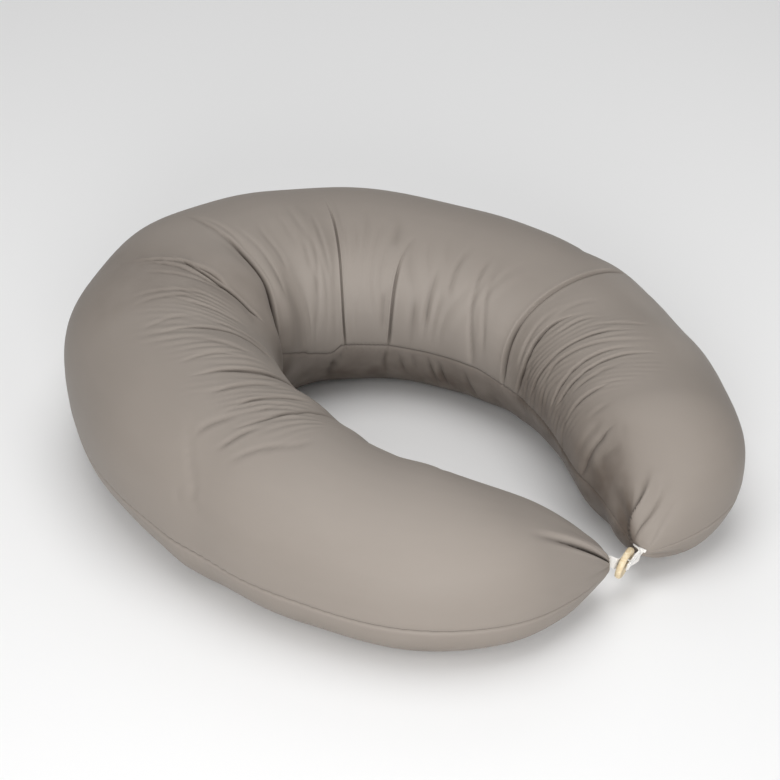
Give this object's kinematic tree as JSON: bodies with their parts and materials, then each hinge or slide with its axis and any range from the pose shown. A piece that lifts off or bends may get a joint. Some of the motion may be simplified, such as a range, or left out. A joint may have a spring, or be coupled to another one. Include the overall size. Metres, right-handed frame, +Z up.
{
  "type": "nursing pillow insert",
  "caption": "Stuffed crescent cushion whose two drawn-in tips are joined by white cotton tabs and a round wooden button.",
  "frame": {"origin": "on the floor, at the middle of the pillow's outline seen from above", "axes": "+Z up, +Y towards the closed back of the crescent, -Y towards the tips and the button, -X towards the arm that carries the button"},
  "size_m": [0.5608, 0.6454, 0.1789],
  "materials": {
    "cushion_cloth": "smooth closely woven taupe cotton with a slight sheen",
    "tab_tape": "plain white cotton tape",
    "button_wood": "pale, waxed"
  },
  "bodies": {
    "root": {"cushion": "cushion_cloth", "near_tab": "tab_tape", "far_tab": "tab_tape", "button": "button_wood"}
  },
  "joints": []
}
